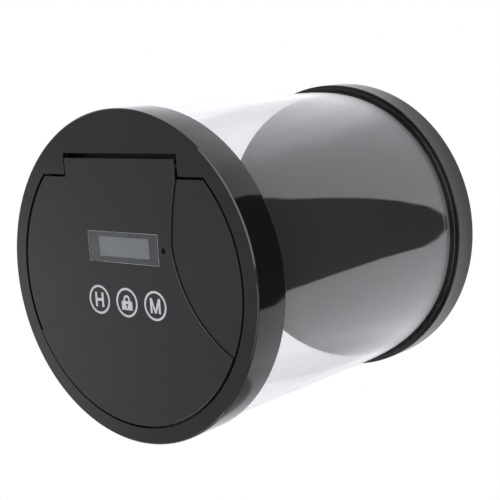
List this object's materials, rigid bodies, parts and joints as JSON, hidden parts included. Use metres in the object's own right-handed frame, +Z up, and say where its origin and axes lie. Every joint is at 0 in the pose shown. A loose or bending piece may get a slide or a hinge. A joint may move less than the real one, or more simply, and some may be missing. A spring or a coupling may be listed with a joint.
{
  "type": "timed lock container",
  "caption": "Clear cylindrical container on a black base, closed by a ring with a hinged door that holds a timer display, touch keys and a motor-driven bolt.",
  "frame": {"origin": "centre of the footprint, at the underside of the feet", "axes": "+Z up along the tube's axis, +Y towards the door's hinge, +X to the right for a user who reads the keys"},
  "size_m": [0.167, 0.167, 0.1909],
  "materials": {
    "gloss_black": "polished moulded black",
    "inner_black": "fine satin moulded black",
    "satin_black": "satin dark grey-black",
    "rubber": "matt rubber",
    "clear": "clear polished acrylic",
    "steel": "zinc plated",
    "lens": "tinted clear acrylic",
    "ink": "screen print",
    "lcd": "unlit reflective display",
    "board": "solder resist",
    "spring_brass": "drawn",
    "led": "diffusing",
    "device_black": "moulded",
    "connector": "natural nylon",
    "lead_red": "insulation",
    "lead_black": "insulation",
    "contact": "nickel plated",
    "motor": "plated",
    "bolt": "natural acetal",
    "cell": "plain sleeve"
  },
  "bodies": {
    "container": {"base_shell": "gloss_black", "base_plate": "inner_black", "base_screws": "steel", "base_feet": "rubber", "clear_tube": "clear", "lid_ring": "gloss_black", "lid_liner": "inner_black", "hinge_pin": "steel", "hinge_cover": "inner_black", "hinge_cover_screws": "steel"},
    "door": {"door_shell": "inner_black", "door_tray": "inner_black", "front_panel": "satin_black", "board_screws": "steel", "tray_screws": "steel", "latch_screws": "steel", "display_lens": "lens", "hour_key_icon": "ink", "lock_key_icon": "ink", "minute_key_icon": "ink", "lcd_module": "lcd", "circuit_board": "board", "touch_springs": "spring_brass", "status_led": "led", "buzzer": "device_black", "controller_chip": "device_black", "lead_connectors": "connector", "motor_leads": "lead_red", "battery_leads": "lead_black", "contact_plates": "contact", "contact_springs": "contact", "latch_motor": "motor", "motor_clamp": "motor", "bolt_keeper": "motor", "battery_cell_1": "cell", "battery_cell_2": "cell", "battery_cell_3": "cell"},
    "bolt": {"latch_bolt": "bolt"},
    "pinion": {"drive_pinion": "spring_brass"},
    "battery_door": {"battery_door": "inner_black"}
  },
  "joints": [
    {"name": "door_hinge", "type": "hinge", "parent": "container", "child": "door", "pos_m": [0, 0.055, 0.187], "axis": [-1, 0, 0], "range_deg": [0, 115]},
    {"name": "bolt_slide", "type": "slide", "parent": "door", "child": "bolt", "axis": [0, -1, 0], "range_m": [0, 0.006]},
    {"name": "pinion_spin", "type": "hinge", "parent": "door", "child": "pinion", "pos_m": [0, -0.05, 0.18017], "axis": [-1, 0, 0], "range_deg": [0, 82]},
    {"name": "battery_door_hinge", "type": "hinge", "parent": "door", "child": "battery_door", "pos_m": [0, 0.0434, 0.1695], "axis": [1, 0, 0], "range_deg": [0, 80]}
  ],
  "couplings": [
    {"joint": "pinion_spin", "follows": "bolt_slide", "rad_per_m": 238.1}
  ]
}
